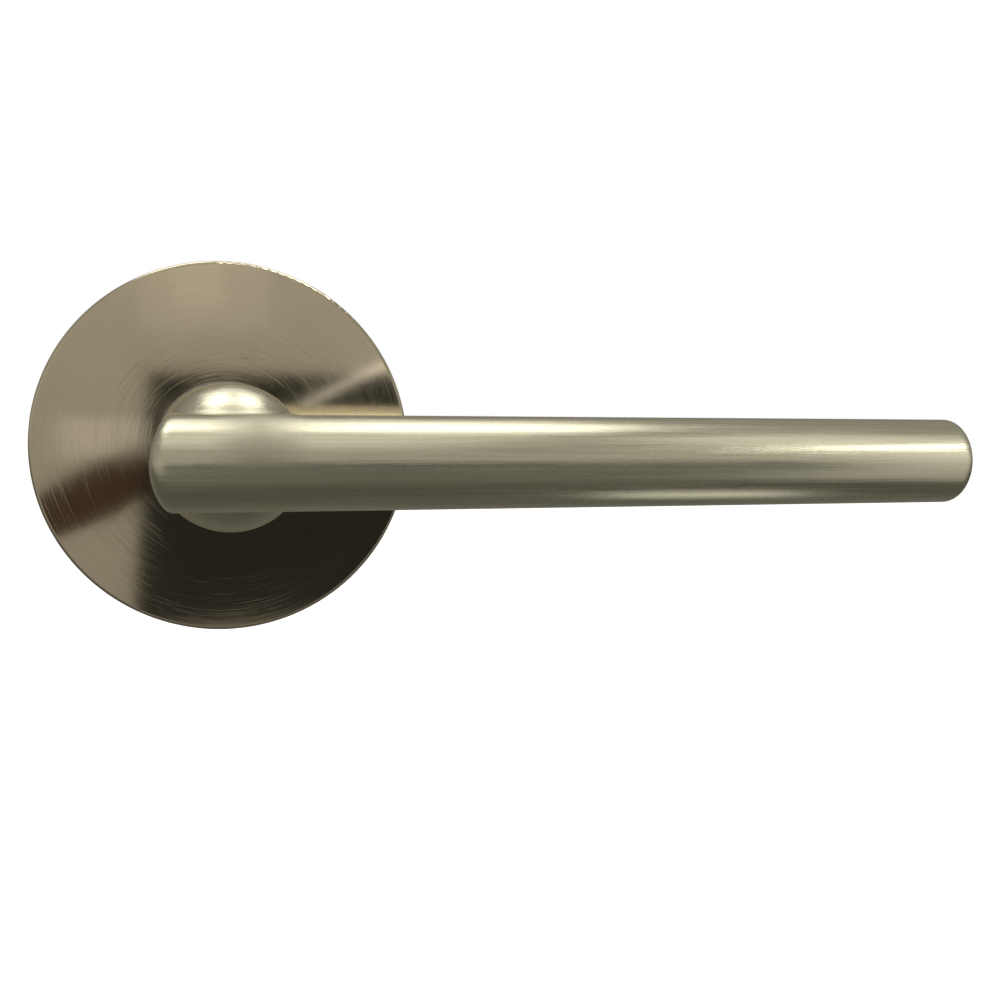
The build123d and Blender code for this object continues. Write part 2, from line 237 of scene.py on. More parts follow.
class FinishSettings(bpy.types.PropertyGroup):
    """Colours and roughness of the handle's finishes."""

    lever_colour: bpy.props.FloatVectorProperty(
        name="Lever nickel", description="Colour of the brushed lever",
        default=(0.615, 0.59, 0.45), subtype="COLOR", min=0, max=1)
    lever_roughness: bpy.props.FloatProperty(
        name="Lever roughness", description="Roughness of the brushed lever",
        default=0.25, subtype="FACTOR", min=0, max=1)
    rose_colour: bpy.props.FloatVectorProperty(
        name="Rose nickel", description="Colour of the turned rose",
        default=(0.60, 0.52, 0.39), subtype="COLOR", min=0, max=1)
    rose_roughness: bpy.props.FloatProperty(
        name="Rose roughness", description="Roughness of the turned rose",
        default=0.08, subtype="FACTOR", min=0, max=1)
    zinc_colour: bpy.props.FloatVectorProperty(
        name="Zinc plate", description="Colour of the bright zinc-plated steel",
        default=(0.68, 0.69, 0.71), subtype="COLOR", min=0, max=1)
    spring_colour: bpy.props.FloatVectorProperty(
        name="Spring steel", description="Colour of the oiled spring steel",
        default=(0.32, 0.32, 0.34), subtype="COLOR", min=0, max=1)
    casting_colour: bpy.props.FloatVectorProperty(
        name="Die casting", description="Colour of the raw zinc casting",
        default=(0.55, 0.56, 0.58), subtype="COLOR", min=0, max=1)
    nylon_colour: bpy.props.FloatVectorProperty(
        name="Nylon", description="Colour of the bush and washer",
        default=(0.86, 0.85, 0.80), subtype="COLOR", min=0, max=1)
    yellow_colour: bpy.props.FloatVectorProperty(
        name="Yellow zinc", description="Colour of the passivated wood screws",
        default=(0.78, 0.60, 0.26), subtype="COLOR", min=0, max=1)
    black_colour: bpy.props.FloatVectorProperty(
        name="Black oxide", description="Colour of the blackened grub screw",
        default=(0.05, 0.05, 0.055), subtype="COLOR", min=0, max=1)
    foam_colour: bpy.props.FloatVectorProperty(
        name="Foam", description="Colour of the gasket",
        default=(0.035, 0.035, 0.038), subtype="COLOR", min=0, max=1)


class SpringSettings(bpy.types.PropertyGroup):
    """Sizes of the return spring's wire."""

    wire: bpy.props.FloatProperty(name="Wire", description="Wire diameter", default=1.2 * MM, unit="LENGTH")
    radius: bpy.props.FloatProperty(
        name="Coil radius", description="Radius of the coil's middle line", default=12.0 * MM, unit="LENGTH")
    pitch: bpy.props.FloatProperty(
        name="Pitch", description="Rise of the coil in one turn", default=1.24 * MM, unit="LENGTH")
    turns: bpy.props.FloatProperty(name="Turns", description="Turns of the coil", default=1.5, min=1)
    leg: bpy.props.FloatProperty(
        name="Leg", description="Length of each straight leg", default=11.5 * MM, unit="LENGTH")
    end_angle: bpy.props.FloatProperty(
        name="End angle", description="Angle over +X where the coil meets its moving leg",
        default=radians(91.83), subtype="ANGLE")


class ScrewSettings(bpy.types.PropertyGroup):
    """Sizes of the wood screws."""

    circle: bpy.props.FloatProperty(
        name="Circle", description="Distance of a screw from the spindle", default=24.0 * MM, unit="LENGTH")
    first_angle: bpy.props.FloatProperty(
        name="First angle", description="Angle of the first screw over +X",
        default=radians(45), subtype="ANGLE")
    head: bpy.props.FloatProperty(
        name="Head", description="Radius of the head", default=3.9 * MM, unit="LENGTH")
    shank: bpy.props.FloatProperty(
        name="Shank", description="Radius over the thread", default=2.0 * MM, unit="LENGTH")
    thread_depth: bpy.props.FloatProperty(
        name="Thread depth", description="Height of the thread", default=0.5 * MM, unit="LENGTH")
    pitch: bpy.props.FloatProperty(
        name="Pitch", description="Rise of the thread in one turn", default=1.8 * MM, unit="LENGTH")
    tip: bpy.props.FloatProperty(
        name="Tip", description="Length of the point", default=4.5 * MM, unit="LENGTH")


class StudioSettings(bpy.types.PropertyGroup):
    """The camera, the floor and the light."""

    lens: bpy.props.FloatProperty(
        name="Lens", description="Focal length on a 36 mm sensor", default=40.66, unit="CAMERA")
    yaw: bpy.props.FloatProperty(
        name="Yaw", description="Camera's turn to the right", default=radians(15.444), subtype="ANGLE")
    pitch: bpy.props.FloatProperty(
        name="Pitch", description="Camera's tilt upwards", default=radians(-5.69), subtype="ANGLE")
    roll: bpy.props.FloatProperty(
        name="Roll", description="Camera's roll", default=radians(0.827), subtype="ANGLE")
    place: bpy.props.FloatVectorProperty(
        name="Place", description="Camera's place", default=(-0.00624, -0.21448, 0.01134), unit="LENGTH")
    wall_level: bpy.props.FloatProperty(
        name="Wall level", description="Brightness of the room's walls", default=1.0, min=0)
    key_level: bpy.props.FloatProperty(
        name="Light level", description="Brightness of all the lights", default=1.0, min=0)


# ---------------------------------------------------------------- stage

WHITE = (1.0, 1.0, 1.0, 1.0)
WALL_TINT = (1.0, 0.97, 0.86)
WARM_WHITE = (1.0, 0.99, 0.95)
# the camera's sensor in millimetres, and the nearest and farthest that it sees in metres
SENSOR_WIDTH = 36
SIGHT = (0.005, 20)
LEVER = ("lever_handle",)
ROSE = ("rose_cover",)
BEHIND = (
    "spindle", "fixing_posts", "door_gasket", "mounting_plate",
    "retaining_ring", "cover_clips", "lock_washers",
)

# brightness of the room by height over the horizon in front of the handle, in degrees
ROOM_BANDS = (
    (-179, 0.22), (-126, 0.16), (-87, 0.12), (-59, 0.11), (-34, 0.18), (-17, 0.34), (-4, 0.43),
    (4, 0.48), (9, 0.60), (16, 0.46), (36, 0.40), (70, 0.42), (131, 0.34), (152, 0.26), (179, 0.22),
)

# cards that the flat rose mirrors: place along Y, outline in X and Z, colour of the glow
CARDS = {
    "dark_card": (
        -0.216, ((-0.026, -0.076), (0.2, -0.076), (0.2, 0.0155), (-0.0196, 0.0148)), (0.024, 0.026, 0.022)),
    "brown_card": (
        -0.217,
        ((-0.0165, -0.008), (-0.038, -0.016), (-0.059, -0.029),
         (-0.06, -0.046), (-0.03, -0.0345), (-0.0217, -0.028)),
        (0.060, 0.037, 0.021)),
}

# lights: place, target, width, height, glow, the nodes that they light (none for all)
LIGHTS = {
    "overhead_left": ((-0.066, -0.01, 0.30), (-0.05, -0.05, 0), 0.148, 0.14, 2.3, ()),
    "overhead_right": ((0.106, -0.01, 0.30), (0.10, -0.05, 0), 0.136, 0.14, 2.3, ()),
    "overhead_back": ((0.017, 0.11, 0.30), (0.017, -0.05, 0), 0.31, 0.12, 0.95, ()),
    "front_left": ((-0.05, -0.45, 0.42), (0.02, -0.05, 0), 0.45, 0.25, 0.30, ()),
    "front_top": ((-0.01, -0.142, 0.285), (0.0, -0.05, 0), 0.26, 0.22, 0.44, LEVER),
    "side_core": ((0.252, -0.209, 0.136), (0.11, -0.05, 0), 0.08, 0.02, 7.0, LEVER),
    "side_halo": ((0.264, -0.195, 0.165), (0.12, -0.05, 0), 0.12, 0.27, 0.6, LEVER),
    "side_low": ((0.262, -0.212, -0.045), (0.11, -0.05, 0), 0.13, 0.24, 0.33, LEVER),
    "low_front": ((0.06, -0.2152, -0.020), (0.06, -0.05, 0), 0.26, 0.08, 0.19, LEVER),
    "low_bounce": ((0.131, -0.052, -0.134), (0.068, -0.05, 0), 0.05, 0.05, 0.8, LEVER),
    "rose_spark": ((0.090, -0.211, 0.0335), (0, 0, 0), 0.01, 0.01, 110.0, ROSE),
    "back_fill": ((0.12, 0.40, 0.30), (0, 0.02, 0), 0.5, 0.4, 0.9, BEHIND),
    "rose_streak": ((0.050, -0.2155, 0.0125), (0.050, 0.0, 0.0125), 0.04, 0.0032, 0.75, ROSE),
    "rose_top": ((0.0, -0.2155, 0.060), (0.0, 0.0, 0.060), 0.044, 0.06, 0.08, ROSE),
    "rose_top_core": ((-0.002, -0.2157, 0.062), (-0.002, 0.0, 0.062), 0.016, 0.05, 0.08, ROSE),
    "rose_left": ((-0.034, -0.2155, -0.008), (-0.034, 0.0, -0.008), 0.03, 0.014, 0.18, ROSE),
}
ROLLS = {"rose_streak": radians(27)}

# the floor's half width in metres, its depth as a share of the lever's reach, and its glow
FLOOR_HALF = 3.0
FLOOR_DROP = 0.80
FLOOR_GLOW = 0.8


def stage_sheet(name, corners, material):
    """A flat sheet that is not part of the object."""
    mesh = bpy.data.meshes.new(name)
    bm = bmesh.new()
    bm.faces.new([bm.verts.new(corner) for corner in corners])
    bm.to_mesh(mesh)
    bm.free()
    mesh.materials.append(material)
    sheet = bpy.data.objects.new(name, mesh)
    bpy.context.scene.collection.objects.link(sheet)
    return sheet


def glow_card(name, y, outline, colour):
    """A dimly glowing card behind the camera, there only to be mirrored."""
    material, tree = new_material(name)
    glow = tree.node("ShaderNodeEmission", inputs={"Color": rgba(colour), "Strength": 1.0})
    tree.node("ShaderNodeOutputMaterial", inputs={"Surface": glow})
    card = stage_sheet(name, [(x, y, z) for x, z in outline], material)
    card.visible_camera = False
    card.visible_shadow = False
    card.visible_diffuse = False


def aim(obj, target):
    obj.rotation_mode = "QUATERNION"
    obj.rotation_quaternion = (Vector(target) - obj.location).to_track_quat("-Z", "Y")


def area_light(name, place, target, width, height, glow, only=(), roll=0.0):
    """A rectangular light of a given brightness. If nodes are named, it lights only those."""
    data = bpy.data.lights.new(name, "AREA")
    data.shape = "RECTANGLE"
    data.size = width
    data.size_y = height
    data.energy = glow * pi * width * height
    data.color = WARM_WHITE
    light = bpy.data.objects.new(name, data)
    bpy.context.scene.collection.objects.link(light)
    light.location = place
    aim(light, target)
    light.rotation_quaternion @= Quaternion((0, 0, 1), roll)
    light.visible_camera = False
    if only:
        lit = bpy.data.collections.new(name + "_lit")
        for node in only:
            lit.objects.link(NODES[node])
        light.light_linking.receiver_collection = lit


def make_camera(studio):
    level = cos(studio.pitch)
    fwd = Vector((sin(studio.yaw) * level, cos(studio.yaw) * level, sin(studio.pitch)))
    right = Vector((cos(studio.yaw), -sin(studio.yaw), 0))
    up = right.cross(fwd)
    rolled_right = cos(studio.roll) * right + sin(studio.roll) * up
    rolled_up = cos(studio.roll) * up - sin(studio.roll) * right
    data = bpy.data.cameras.new("camera")
    data.lens = studio.lens
    data.sensor_width = SENSOR_WIDTH
    data.clip_start, data.clip_end = SIGHT
    camera = bpy.data.objects.new("camera", data)
    bpy.context.scene.collection.objects.link(camera)
    turn = Matrix((rolled_right, rolled_up, -fwd)).transposed().to_4x4()
    camera.matrix_world = Matrix.Translation(Vector(studio.place)) @ turn
    bpy.context.scene.camera = camera


def make_world(level):
    """White to the camera, and a soft warm room to everything that mirrors it."""
    world = bpy.data.worlds.new("studio")
    world.use_nodes = True
    bpy.context.scene.world = world
    tree = Tree(world.node_tree)
    _, y, z = tree.parts(tree.node("ShaderNodeTexCoord", out=0))
    # height of the direction over the horizon in front of the handle, -180 to 180 degrees as 0 to 1
    turn = z.heading(0.0 - y) / tau + 0.5
    stops = []
    for degrees_up, bright in ROOM_BANDS:
        stops.append((degrees_up / 360 + 0.5, rgba(WALL_TINT, bright)))
    room = tree.ramp(turn, stops)
    path = tree.node("ShaderNodeLightPath", out=0)
    shown = tree.mix(path, room, WHITE)
    background = tree.node("ShaderNodeBackground", inputs={"Color": shown, "Strength": level})
    tree.node("ShaderNodeOutputWorld", inputs={"Surface": background})


def make_floor():
    """The pale floor, clear of the grip's tip when the lever is turned down."""
    level = -FLOOR_DROP * CAD_HIGH.x
    material, tree = new_material("pale_floor")
    speckle = tree.noise(tree.vector(*tree.place()), 40.0)
    tone = tree.mix(speckle, (0.90, 0.90, 0.89, 1.0), (0.94, 0.94, 0.93, 1.0))
    tree.surface(Base_Color=tone, Roughness=0.9, Emission_Color=WHITE, Emission_Strength=FLOOR_GLOW)
    ways = ((-1, -1), (1, -1), (1, 1), (-1, 1))
    floor = stage_sheet("floor", [(x * FLOOR_HALF, y * FLOOR_HALF, level) for x, y in ways], material)
    floor.visible_glossy = False
    floor.visible_diffuse = False
    floor.visible_shadow = False


class LEVER_OT_studio(bpy.types.Operator):
    """Makes the camera, the pale floor, the room and the lights"""

    bl_idname = "lever.studio"
    bl_label = "Studio"

    def execute(self, context):
        studio = context.scene.studio_settings
        context.scene.view_settings.view_transform = "Standard"
        make_camera(studio)
        make_world(studio.wall_level)
        make_floor()
        for name, (depth, outline, colour) in CARDS.items():
            glow_card(name, depth, outline, colour)
        for name, (place, target, width, height, glow, only) in LIGHTS.items():
            level = glow * studio.key_level
            area_light(name, place, target, width, height, level, only, ROLLS.get(name, 0.0))
        return {"FINISHED"}


# ---------------------------------------------------------------- finishes


# grains per metre along X, Y and Z
BRUSH_HAIRS = (90.0, 9000.0, 9000.0)
BRUSH_STREAKS = (45.0, 2200.0, 2200.0)
LEVER_CLOUD = (60.0, 150.0, 150.0)
ROSE_CLOUD = (90.0, 90.0, 90.0)
BAR_DRAWING = (5000.0, 40.0, 5000.0)
POST_CUTS = (30.0, 9000.0, 30.0)
# grains per metre outwards from the spindle, then over the east and north parts of the direction
RINGS_FINE = (16000.0, 1.5, 1.5)
RINGS_ARCS = (4200.0, 1.2, 1.2)
RINGS_BROAD = (1500.0, 0.6, 0.6)
RINGS_SCUFFS = (11000.0, 2.2, 2.2)
# the same, with the outward count last, for radial fans of painted sheen
ROSE_SHEEN_FAN = (3.0, 3.0, 15.0)
# the lever's heel at the crease between neck and grip, rougher where the brushing turns and darkened with
# painted shade on its upper front: its middle and half width along X
SHADED_HEEL_MIDDLE = 3.2 * MM
SHADED_HEEL_HALF = 7.0 * MM
# how far the shading softens the lever's edges
SOFT_EDGE = 1.4 * MM


class LEVER_OT_lever(bpy.types.Operator):
    """Gives the lever its nickel plate brushed lengthwise"""

    bl_idname = "lever.lever"
    bl_label = "Lever"

    def execute(self, context):
        finish = context.scene.finish_settings
        material, tree = new_material("satin_nickel_brushed")
        place = tree.place()
        x, y, z = place
        hairs = tree.grain(place, BRUSH_HAIRS, 3.0, 0.65)
        streaks = tree.grain(place, BRUSH_STREAKS, 2.0, 0.6)
        cloud = tree.grain(place, LEVER_CLOUD)
        # painted shade: the colour darkens on the heel's upper front, in the crease between the neck's dome
        # and the grip; the roughness rises there too
        turn = tree.span((x - SHADED_HEEL_MIDDLE).size(), 0.0, SHADED_HEEL_HALF, 1.0, 0.0)
        turn = turn * tree.span(z, -2.0 * MM, 3.0 * MM) * tree.span(y, -45.0 * MM, -47.0 * MM)
        shade = (streaks - 0.5) * 0.75 + (hairs - 0.5) * 0.45 + (cloud - 0.5) * 0.25 - turn * 0.85 + 0.5
        colour = tree.mix(shade, rgba(finish.lever_colour, 0.76), rgba(finish.lever_colour, 1.22))
        rough = finish.lever_roughness + (hairs - 0.5) * 0.14 + (streaks - 0.5) * 0.12
        rough = rough + (cloud - 0.5) * 0.06 + turn * 0.34
        soft = tree.node("ShaderNodeBevel", {"samples": 6}, {"Radius": SOFT_EDGE})
        normal = tree.bump(hairs + streaks * 1.5, 9 * MICRON, normal=soft)
        tree.surface(Base_Color=colour, Metallic=1.0, Roughness=rough, Normal=normal)
        finish_nodes(material, "lever_handle")
        return {"FINISHED"}


class LEVER_OT_rose(bpy.types.Operator):
    """Gives the rose its nickel plate brushed in circles"""

    bl_idname = "lever.rose"
    bl_label = "Rose"

    def execute(self, context):
        finish = context.scene.finish_settings
        material, tree = new_material("turned_nickel_rings")
        place = tree.place()
        x, y, z = place
        radius = (x * x + z * z).root()
        east, north = x / radius, z / radius
        run = radius + y * 0.6
        turned = (run, east, north)
        fine = tree.grain(turned, RINGS_FINE, 2.0, 0.6)
        arcs = tree.grain(turned, RINGS_ARCS, 2.0, 0.6)
        rings = tree.grain(turned, RINGS_BROAD)
        # painted sheen: random radial fans lighten and darken the colour in place of the turned rose's
        # reflections, and vary its roughness
        sheen_fan = tree.grain((east, north, run), ROSE_SHEEN_FAN)
        cloud = tree.grain(place, ROSE_CLOUD)
        scratch = tree.span(tree.grain(turned, RINGS_SCUFFS, 1.0), 0.62, 0.80)
        shade = (fine - 0.5) * 0.42 + (arcs - 0.5) * 0.28 + (sheen_fan - 0.5) * 0.22 + (cloud - 0.5) * 0.16 + 0.5
        colour = tree.mix(shade, rgba(finish.rose_colour, 0.80), rgba(finish.rose_colour, 1.20))
        rough = finish.rose_roughness + (arcs - 0.5) * 0.04 + (sheen_fan - 0.5) * 0.06 + scratch * 0.06
        # the rounded edge is polished
        edge = CAD_HIGH.z
        cut = tree.span(radius, edge - 1.1 * MM, edge - 0.5 * MM, 1.0, 0.1)
        height = (fine * 0.6 + arcs * 0.5 + rings * 0.5 + scratch * 1.1) * cut
        normal = tree.bump(height, 1.4 * MICRON)
        tree.surface(Base_Color=colour, Metallic=1.0, Roughness=rough, Normal=normal)
        finish_nodes(material, "rose_cover")
        return {"FINISHED"}


def grained(name, tones, roughness, grain, depth, metallic=1.0):
    """A skin with a fine grain, whose tone drifts slowly through a few colours."""
    material, tree = new_material(name)
    point = tree.vector(*tree.place())
    drift = tree.noise(point, 160.0, 2.0)
    patches = tree.noise(point, 600.0, 2.0)
    skin = tree.noise(point, 1.0 / grain, 3.0, 0.6)
    stops = [(index / (len(tones) - 1), rgba(tone)) for index, tone in enumerate(tones)]
    colour = tree.ramp(tree.span(drift * 0.7 + patches * 0.3, 0.36, 0.64), stops)
    rough = roughness + (drift - 0.5) * 0.12 + (patches - 0.5) * 0.10 + (skin - 0.5) * 0.10
    tree.surface(Base_Color=colour, Metallic=metallic, Roughness=rough, Normal=tree.bump(skin, depth))
    return material


def shaded(colour, *factors):
    """Tones of one colour, each with a factor for red, green and blue."""
    return [tuple(min(part * by, 1.0) for part, by in zip(colour, factor)) for factor in factors]


def zinc_plate(finish):
    tones = shaded(
        finish.zinc_colour, (0.88, 0.90, 0.95), (1.0, 1.0, 1.0), (1.06, 1.04, 0.98), (0.94, 0.97, 1.04))
    return grained("bright_zinc_plate", tones, 0.27, 0.25 * MM, 3 * MICRON)


def spring_steel(finish):
    tones = shaded(finish.spring_colour, (0.80, 0.82, 0.92), (1.0, 1.0, 1.0), (1.20, 1.10, 0.92))
    return grained("oiled_spring_steel", tones, 0.24, 0.18 * MM, 2 * MICRON)


class LEVER_OT_spindle(bpy.types.Operator):
    """Gives the spindle, its leaf spring and the grub screw their finishes"""

    bl_idname = "lever.spindle"
    bl_label = "Spindle"

    def execute(self, context):
        finish = context.scene.finish_settings
        material, tree = new_material("drawn_zinc_bar")
        place = tree.place()
        drawn = tree.grain(place, BAR_DRAWING, 3.0, 0.6)
        cloud = tree.noise(tree.vector(*place), 180.0, 2.0)
        shade = (drawn - 0.5) * 0.6 + (cloud - 0.5) * 0.8 + 0.5
        colour = tree.mix(shade, rgba(finish.zinc_colour, 0.78), rgba(finish.zinc_colour, 1.12))
        rough = 0.28 + (drawn - 0.5) * 0.14 + (cloud - 0.5) * 0.10
        tree.surface(Base_Color=colour, Metallic=1.0, Roughness=rough, Normal=tree.bump(drawn, 5 * MICRON))
        finish_nodes(material, "spindle")
        finish_nodes(spring_steel(finish), "spindle_leaf")
        tones = shaded(finish.black_colour, (0.8, 0.8, 0.9), (1.0, 1.0, 1.0), (1.5, 1.4, 1.3))
        finish_nodes(grained("black_oxide", tones, 0.42, 0.2 * MM, 3 * MICRON), "grub_screw")
        return {"FINISHED"}


class LEVER_OT_cassette(bpy.types.Operator):
    """Gives the steel parts of the spring cassette their zinc and spring finishes"""

    bl_idname = "lever.cassette"
    bl_label = "Spring cassette"

    def execute(self, context):
        finish = context.scene.finish_settings
        finish_nodes(
            zinc_plate(finish),
            "drive_plate", "drive_peg", "spring_anchor", "stop_pins", "cassette_lid", "lid_screws")
        finish_nodes(spring_steel(finish), "retaining_ring", "disc_spring", "cover_clips")
        return {"FINISHED"}


class LEVER_OT_plate(bpy.types.Operator):
    """Gives the mounting plate its raw casting skin"""

    bl_idname = "lever.plate"
    bl_label = "Mounting plate"

    def execute(self, context):
        colour = context.scene.finish_settings.casting_colour
        tones = shaded(colour, (0.78, 0.78, 0.80), (1.0, 1.0, 1.0), (0.90, 0.90, 0.92), (1.10, 1.10, 1.08))
        finish_nodes(grained("raw_zinc_casting", tones, 0.46, 0.4 * MM, 12 * MICRON), "mounting_plate")
        return {"FINISHED"}


class LEVER_OT_bearings(bpy.types.Operator):
    """Gives the bush and the thrust washer their natural nylon"""

    bl_idname = "lever.bearings"
    bl_label = "Nylon bearings"

    def execute(self, context):
        colour = context.scene.finish_settings.nylon_colour
        tones = shaded(colour, (0.95, 0.94, 0.90), (1.0, 1.0, 1.0), (1.02, 1.01, 0.98))
        nylon = grained("natural_nylon", tones, 0.40, 0.3 * MM, 4 * MICRON, metallic=0.0)
        finish_nodes(nylon, "neck_bush", "front_washer")
        return {"FINISHED"}


class LEVER_OT_fixings(bpy.types.Operator):
    """Gives the fixing posts and their lock washers their finishes"""

    bl_idname = "lever.fixings"
    bl_label = "Fixing posts"

    def execute(self, context):
        finish = context.scene.finish_settings
        material, tree = new_material("turned_zinc_post")
        place = tree.place()
        cuts = tree.grain(place, POST_CUTS, 2.0, 0.6)
        cloud = tree.noise(tree.vector(*place), 220.0, 2.0)
        shade = (cuts - 0.5) * 0.5 + (cloud - 0.5) * 0.9 + 0.5
        colour = tree.mix(shade, rgba(finish.zinc_colour, 0.80), rgba(finish.zinc_colour, 1.12))
        rough = 0.25 + (cuts - 0.5) * 0.16 + (cloud - 0.5) * 0.10
        tree.surface(Base_Color=colour, Metallic=1.0, Roughness=rough, Normal=tree.bump(cuts, 6 * MICRON))
        finish_nodes(material, "fixing_posts")
        finish_nodes(spring_steel(finish), "lock_washers")
        return {"FINISHED"}


class LEVER_OT_gasket(bpy.types.Operator):
    """Gives the gasket its closed-cell foam"""

    bl_idname = "lever.gasket"
    bl_label = "Gasket"

    def execute(self, context):
        finish = context.scene.finish_settings
        material, tree = new_material("closed_cell_foam")
        point = tree.vector(*tree.place())
        cells = tree.node("ShaderNodeTexVoronoi", {"feature": "F1"}, {"Vector": point, "Scale": 2600.0})
        cloud = tree.noise(point, 140.0, 2.0)
        shade = cells * 0.8 + (cloud - 0.5) * 0.5
        colour = tree.mix(shade, rgba(finish.foam_colour, 1.5), rgba(finish.foam_colour, 0.7))
        rough = 0.82 + (cloud - 0.5) * 0.15
        tree.surface(Base_Color=colour, Roughness=rough, Normal=tree.bump(1.0 - cells, 120 * MICRON))
        finish_nodes(material, "door_gasket")
        return {"FINISHED"}


# ---------------------------------------------------------------- modelled pieces


SMOOTH_UNDER = radians(35)


def piece_from(bm, name, material):
    """Makes a piece of a finished bmesh, smooth where its faces nearly line up."""
    bmesh.ops.recalc_face_normals(bm, faces=bm.faces)
    for face in bm.faces:
        face.smooth = True
    for edge in bm.edges:
        edge.smooth = edge.is_manifold and edge.calc_face_angle(0.0) < SMOOTH_UNDER
    mesh = bpy.data.meshes.new(name)
    bm.to_mesh(mesh)
    bm.free()
    mesh.materials.append(material)
    piece = bpy.data.objects.new(name, mesh)
    bpy.context.scene.collection.objects.link(piece)
    return piece


def drawn_out(bm, edges, shift):
    """Extrudes a loop of edges by a shift and returns the new loop."""
    made = bmesh.ops.extrude_edge_only(bm, edges=edges)["geom"]
    verts = [item for item in made if isinstance(item, bmesh.types.BMVert)]
    bmesh.ops.translate(bm, verts=verts, vec=shift)
    return [item for item in made if isinstance(item, bmesh.types.BMEdge) and item.is_boundary]


# steps in a turn of the coil, sides of the wire, rounding of its cut ends as a share of the wire
COIL_STEPS, WIRE_SIDES, END_ROUND = 72, 16, 1 / 12


class LEVER_OT_spring(bpy.types.Operator):
    """Makes the return spring, which winds up between the plate and the lever"""

    bl_idname = "lever.spring"
    bl_label = "Return spring"

    def execute(self, context):
        size = context.scene.spring_settings
        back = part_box("return_spring")[1][1]
        drift = size.pitch * size.leg / (tau * size.radius)
        start_angle = size.end_angle + tau * size.turns
        start_y = back - drift - size.wire / 2
        end_y = start_y - size.pitch * size.turns
        steps = int(COIL_STEPS * size.turns)
        bm = bmesh.new()
        section = bmesh.ops.create_circle(bm, segments=WIRE_SIDES, radius=size.wire / 2)["verts"]
        turn = Matrix.Rotation(-start_angle, 4, "Y") @ Matrix.Translation((size.radius, start_y, 0))
        bmesh.ops.transform(bm, matrix=turn, verts=section)
        first = list(bm.edges)
        spun = bmesh.ops.spin(
            bm, geom=first, cent=(0, 0, 0), axis=(0, 1, 0), angle=tau * size.turns, steps=steps,
            dvec=(0, (end_y - start_y) / steps, 0), use_merge=False, use_duplicate=False)["geom_last"]
        last = [item for item in spun if isinstance(item, bmesh.types.BMEdge)]
        round_once = tau * size.radius
        run = size.leg / Vector((round_once, size.pitch)).length
        start_way = Vector((-sin(start_angle) * round_once, size.pitch, cos(start_angle) * round_once))
        end_way = Vector((sin(size.end_angle) * round_once, -size.pitch, -cos(size.end_angle) * round_once))
        drawn_out(bm, first, start_way * run)
        drawn_out(bm, last, end_way * run)
        open_edges = [edge for edge in bm.edges if edge.is_boundary]
        ends = bmesh.ops.holes_fill(bm, edges=open_edges, sides=0)["faces"]
        rims = [edge for face in ends for edge in face.edges]
        bmesh.ops.bevel(bm, geom=rims, offset=size.wire * END_ROUND, offset_type="OFFSET", segments=2,
                        profile=0.5, affect="EDGES", material=-1)
        material = spring_steel(context.scene.finish_settings)
        piece = piece_from(bm, "torsion_spring", material)
        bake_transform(piece)
        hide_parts("return_spring")
        return {"FINISHED"}


# the head: its sides and the height of its edge
HEAD_SIDES, HEAD_EDGE = 48, 0.2 * MM
# the crossed recess, as shares of the head's radius
WING, WEB, RECESS_DEPTH, RECESS_TAPER = 0.58, 0.16, 0.42, 0.6
# the point, as shares of the root's radius and of the tip's length, and how the thread runs out with it
POINT_MIDDLE, POINT_END, POINT_RISE = 0.55, 0.04, 0.4
RUN_OUT_LEAST, RUN_OUT_CURVE = 0.05, 0.7
# where the thread and the slimmer root begin, in pitches behind the door face
THREAD_START, ROOT_START = 2.0, 2.4
# the thread: steps in a turn, half its foot in pitches, half its crest, depth in the root, end before the tip
THREAD_STEPS, THREAD_FOOT, THREAD_CREST, THREAD_SUNK, THREAD_END = 24, 0.22, 0.05 * MM, 0.1 * MM, 0.6 * MM
# how many screws, and how far each cross is turned, in degrees
SCREW_COUNT, FIRST_TURN, NEXT_TURN = 2, 25, 40


